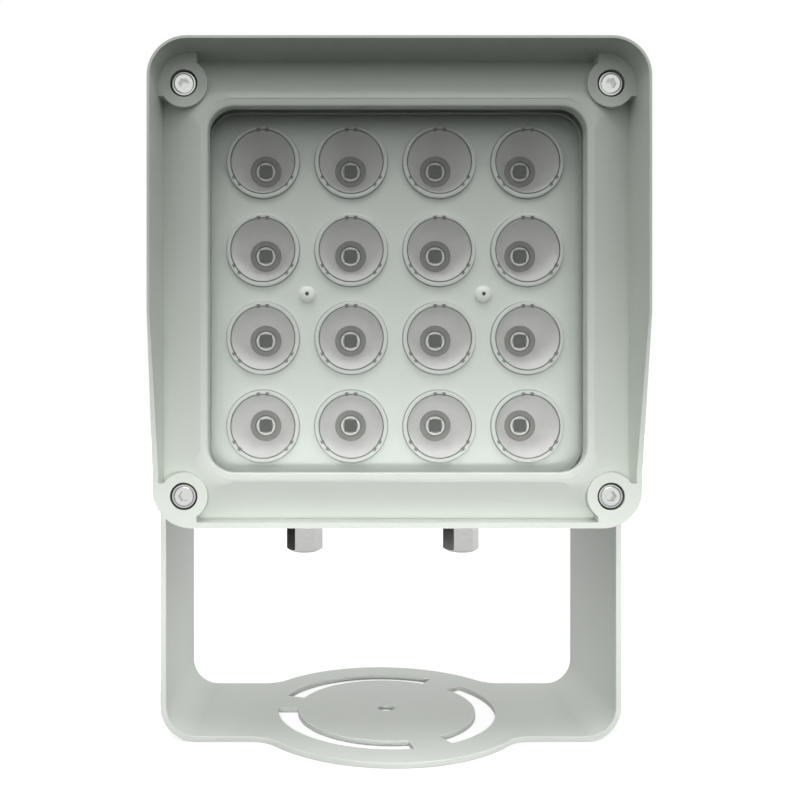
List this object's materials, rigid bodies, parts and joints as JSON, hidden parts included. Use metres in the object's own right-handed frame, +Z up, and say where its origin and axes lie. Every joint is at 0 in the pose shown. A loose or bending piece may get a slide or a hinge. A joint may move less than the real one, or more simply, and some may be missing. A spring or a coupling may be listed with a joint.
{
  "type": "infrared illuminator",
  "caption": "Square die-cast infrared floodlight with a hooded front cover and a lens array, tilting in a bent sheet bracket with a round slotted base, with cable glands below.",
  "frame": {"origin": "centre of the hole in the bracket's round base, on its underside", "axes": "+Z up from the base, +X to the right of someone facing the lenses, lenses look along -Y"},
  "size_m": [0.1776, 0.122, 0.2277],
  "materials": {
    "bracket_paint": "light grey powder coat",
    "housing_paint": "light grey powder coat on die casting",
    "cover_paint": "light grey powder coat on die casting",
    "black_rubber": "matte black rubber",
    "seal_rubber": "matte black rubber",
    "window": "clear toughened glass",
    "retainer_coat": "grey coated sheet",
    "plate_paint": "pale grey paint",
    "lens_optic": "satin moulded optic",
    "emitter": "dark emitter package",
    "board_coat": "dark board coating",
    "thermal_pad": "soft pad",
    "spreader": "milled aluminium",
    "stainless": "plain stainless steel",
    "zinc_screw": "zinc plated steel",
    "white_screw": "white coated steel",
    "friction": "black nylon",
    "nickel": "nickel plated brass",
    "driver_board": "green board",
    "inductor": "varnished copper winding",
    "capacitor": "sleeved can",
    "terminal": "moulded block"
  },
  "bodies": {
    "bracket": {"mounting_bracket": "bracket_paint"},
    "head": {"rear_housing": "housing_paint", "front_cover": "cover_paint", "cover_gasket": "black_rubber", "window_gasket": "black_rubber", "gland_washer_left": "black_rubber", "gland_washer_right": "black_rubber", "gland_seal_left": "seal_rubber", "gland_seal_right": "seal_rubber", "window_glass": "window", "window_retainer": "retainer_coat", "lens_plate": "plate_paint", "lens_r1_c1": "lens_optic", "lens_r1_c2": "lens_optic", "lens_r1_c3": "lens_optic", "lens_r1_c4": "lens_optic", "lens_r2_c1": "lens_optic", "lens_r2_c2": "lens_optic", "lens_r2_c3": "lens_optic", "lens_r2_c4": "lens_optic", "lens_r3_c1": "lens_optic", "lens_r3_c2": "lens_optic", "lens_r3_c3": "lens_optic", "lens_r3_c4": "lens_optic", "lens_r4_c1": "lens_optic", "lens_r4_c2": "lens_optic", "lens_r4_c3": "lens_optic", "lens_r4_c4": "lens_optic", "led_emitters_row_1": "emitter", "led_emitters_row_2": "emitter", "led_emitters_row_3": "emitter", "led_emitters_row_4": "emitter", "led_board": "board_coat", "thermal_pad": "thermal_pad", "heat_spreader": "spreader", "cover_screws": "stainless", "pivot_bolt_left": "stainless", "pivot_bolt_right": "stainless", "flat_washer_left": "stainless", "flat_washer_right": "stainless", "spring_washer_left": "stainless", "spring_washer_right": "stainless", "retainer_screws": "zinc_screw", "board_screws": "zinc_screw", "spreader_screws": "zinc_screw", "driver_screws": "zinc_screw", "plate_spacers": "zinc_screw", "plate_screw_left": "white_screw", "plate_screw_right": "white_screw", "friction_washer_left": "friction", "friction_washer_right": "friction", "gland_body_left": "nickel", "gland_body_right": "nickel", "gland_nut_left": "nickel", "gland_nut_right": "nickel", "driver_board": "driver_board", "driver_inductor": "inductor", "driver_capacitors": "capacitor", "terminal_block": "terminal"}
  },
  "joints": [
    {"name": "tilt", "type": "hinge", "parent": "bracket", "child": "head", "pos_m": [0, 0, 0.1524], "axis": [1, 0, 0], "range_deg": [-90, 90]}
  ]
}
